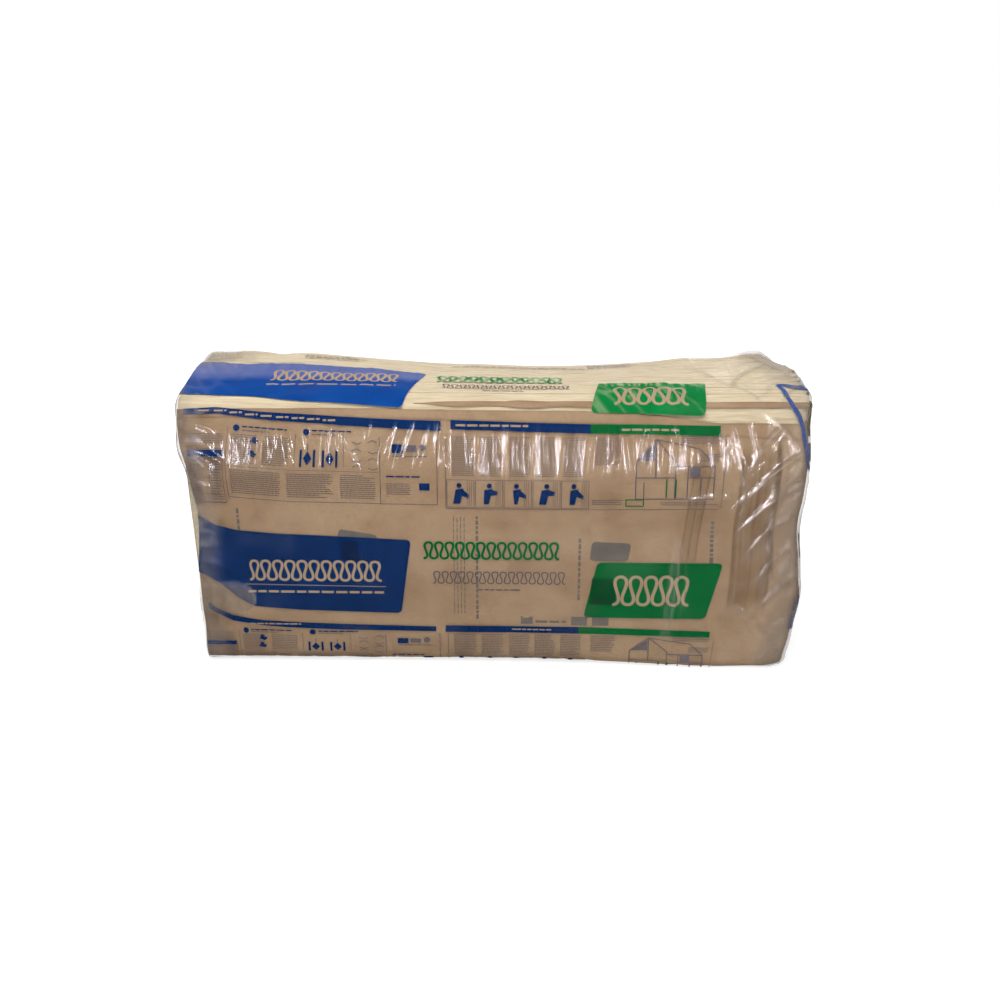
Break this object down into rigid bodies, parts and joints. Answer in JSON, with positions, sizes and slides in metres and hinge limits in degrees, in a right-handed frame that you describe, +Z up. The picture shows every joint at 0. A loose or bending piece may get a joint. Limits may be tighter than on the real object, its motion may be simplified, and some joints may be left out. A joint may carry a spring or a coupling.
{
  "type": "bag of insulation batts",
  "caption": "kraft-faced glass wool batts folded in half, stacked on edge and compressed in a clear printed film bag with gusset-folded, sealed ends",
  "frame": {"origin": "centre of the underside's bounding box, on the surface that the bag stands on", "axes": "+X along the bag towards the end with the batts' folds, +Y from the printed front to the back, +Z up; the bag stands on a long narrow side"},
  "size_m": [1.22, 0.386, 0.57],
  "materials": {
    "film_bag": "clear polyethylene film, glossy and creased",
    "glass_wool": "pale cream fibrous wool",
    "kraft_facing": "matte brown kraft paper"
  },
  "bodies": {
    "root": {"film_bag": "film_bag", "glass_wool_1": "glass_wool", "glass_wool_2": "glass_wool", "glass_wool_3": "glass_wool", "glass_wool_4": "glass_wool", "glass_wool_5": "glass_wool", "glass_wool_6": "glass_wool", "glass_wool_7": "glass_wool", "glass_wool_8": "glass_wool", "glass_wool_9": "glass_wool", "kraft_facing_1": "kraft_facing", "kraft_facing_2": "kraft_facing", "kraft_facing_3": "kraft_facing", "kraft_facing_4": "kraft_facing", "kraft_facing_5": "kraft_facing", "kraft_facing_6": "kraft_facing", "kraft_facing_7": "kraft_facing", "kraft_facing_8": "kraft_facing", "kraft_facing_9": "kraft_facing"}
  },
  "joints": []
}
